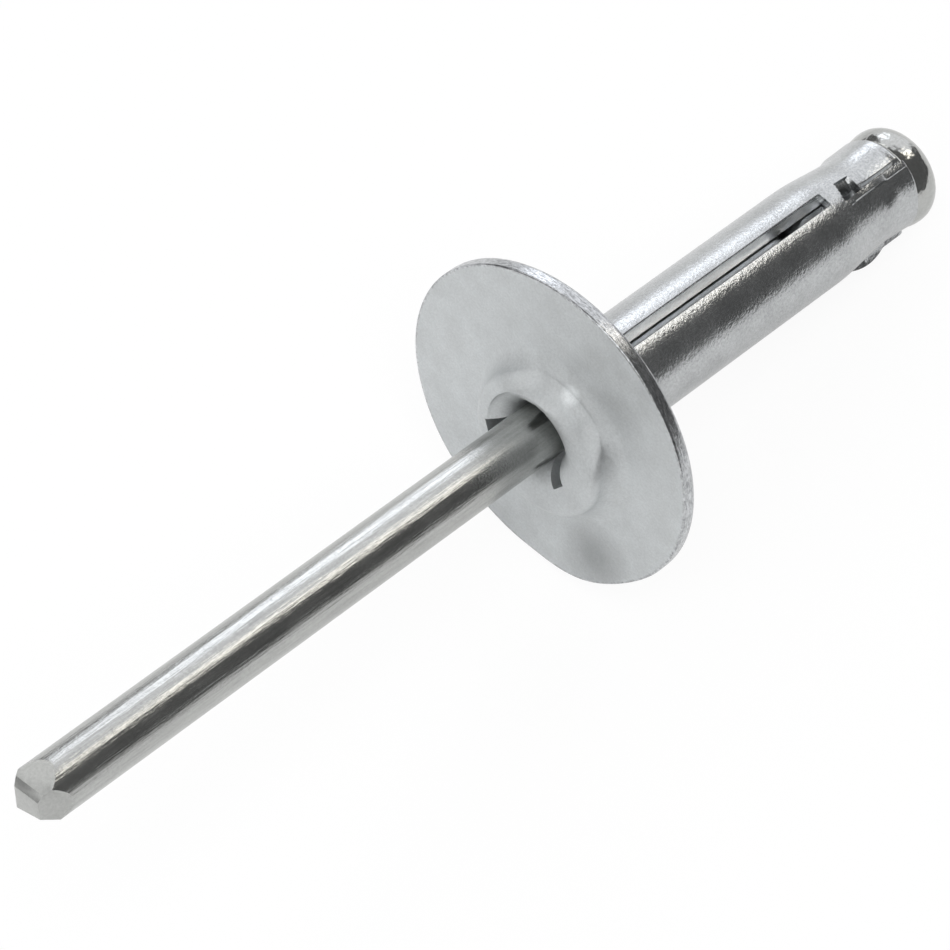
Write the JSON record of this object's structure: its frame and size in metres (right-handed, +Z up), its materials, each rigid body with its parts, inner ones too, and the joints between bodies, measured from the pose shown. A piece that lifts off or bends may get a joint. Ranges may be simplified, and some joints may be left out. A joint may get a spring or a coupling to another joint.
{
  "type": "blind rivet",
  "caption": "Large-flange blind rivet: thin flange with raised hub, slotted shank crimped at its blind end, and a necked mandrel with a pinch-cut tip and domed head.",
  "frame": {"origin": "on the floor, under the middle of the part's bounding box as it lies", "axes": "+Z up; the part lies along X with the mandrel's cut tip at -X and raised, and the blind end with the mandrel's head at +X on the floor"},
  "size_m": [0.0554, 0.0162, 0.0163],
  "materials": {
    "body": "satin",
    "mandrel": "bright drawn"
  },
  "bodies": {
    "root": {"rivet_body": "body", "mandrel": "mandrel"}
  },
  "joints": []
}
